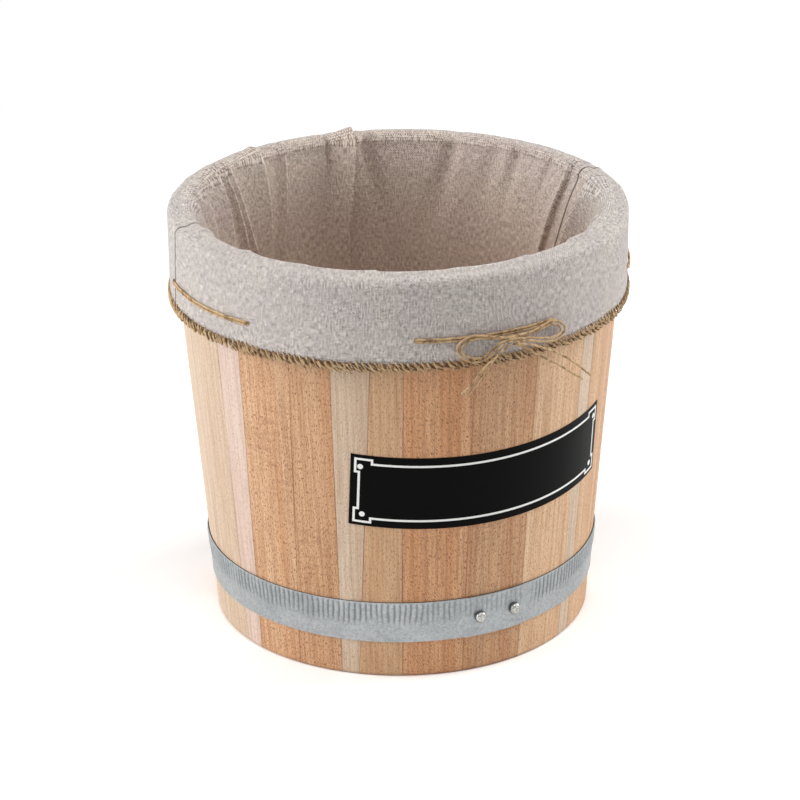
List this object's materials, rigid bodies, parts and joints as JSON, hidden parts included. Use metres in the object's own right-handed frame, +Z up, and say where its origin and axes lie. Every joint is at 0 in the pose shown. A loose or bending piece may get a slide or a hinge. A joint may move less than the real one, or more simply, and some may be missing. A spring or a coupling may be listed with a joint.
{
  "type": "lined wooden firkin",
  "caption": "Tapered round wooden firkin of edge-jointed staves with galvanised hoops, a plank bottom, a blank black label and a lift-out linen liner with jute edging and bow.",
  "frame": {"origin": "centre of the foot, where the staves stand on the floor", "axes": "+Z up along the firkin's axis; -Y faces the middle of the black label; +X to the right as seen from the label side"},
  "size_m": [0.3128, 0.3197, 0.291],
  "materials": {
    "beech_pale": "bare sanded beech, pale",
    "beech_pink": "bare sanded beech, pinkish and pale",
    "beech_tan": "bare sanded beech, tan",
    "beech_orange": "bare sanded beech, orange, flecked",
    "beech_brown": "bare sanded beech, warm brown, coarse fleck",
    "board_wood": "bare planed beech",
    "galvanised_strip": "dull galvanised strip, ribbed along its upper part",
    "rivet_steel": "zinc-plated rivet",
    "label_black": "smooth black blank writing surface",
    "label_white": "white printed line",
    "linen": "natural linen, plain weave",
    "jute": "twisted jute twine"
  },
  "bodies": {
    "bucket": {"stave_01": "beech_pink", "stave_02": "beech_orange", "stave_03": "beech_orange", "stave_04": "beech_pale", "stave_05": "beech_tan", "stave_06": "beech_brown", "stave_07": "beech_orange", "stave_08": "beech_tan", "stave_09": "beech_pale", "stave_10": "beech_tan", "stave_11": "beech_orange", "stave_12": "beech_pale", "stave_13": "beech_brown", "stave_14": "beech_tan", "stave_15": "beech_orange", "stave_16": "beech_pink", "stave_17": "beech_tan", "stave_18": "beech_pale", "stave_19": "beech_orange", "stave_20": "beech_brown", "stave_21": "beech_pale", "stave_22": "beech_tan", "stave_23": "beech_orange", "stave_24": "beech_pink", "stave_25": "beech_tan", "stave_26": "beech_orange", "stave_27": "beech_pale", "bottom_board_1": "board_wood", "bottom_board_2": "board_wood", "bottom_board_3": "board_wood", "bottom_board_4": "board_wood", "lower_hoop": "galvanised_strip", "lower_hoop_rivets": "rivet_steel", "upper_hoop": "galvanised_strip", "upper_hoop_rivets": "rivet_steel", "label_panel": "label_black", "label_border": "label_white"},
    "liner": {"liner_bag_front": "linen", "liner_bag_back": "linen", "liner_base": "linen", "liner_cuff_front": "linen", "liner_cuff_back": "linen", "cuff_edging": "jute", "drawstring": "jute", "bow_knot": "jute", "bow_loop_left": "jute", "bow_loop_right": "jute", "bow_tail_left": "jute", "bow_tail_right": "jute"}
  },
  "joints": [
    {"name": "liner_lift", "type": "slide", "parent": "bucket", "child": "liner", "axis": [0, 0, 1], "range_m": [0, 0.27]}
  ]
}
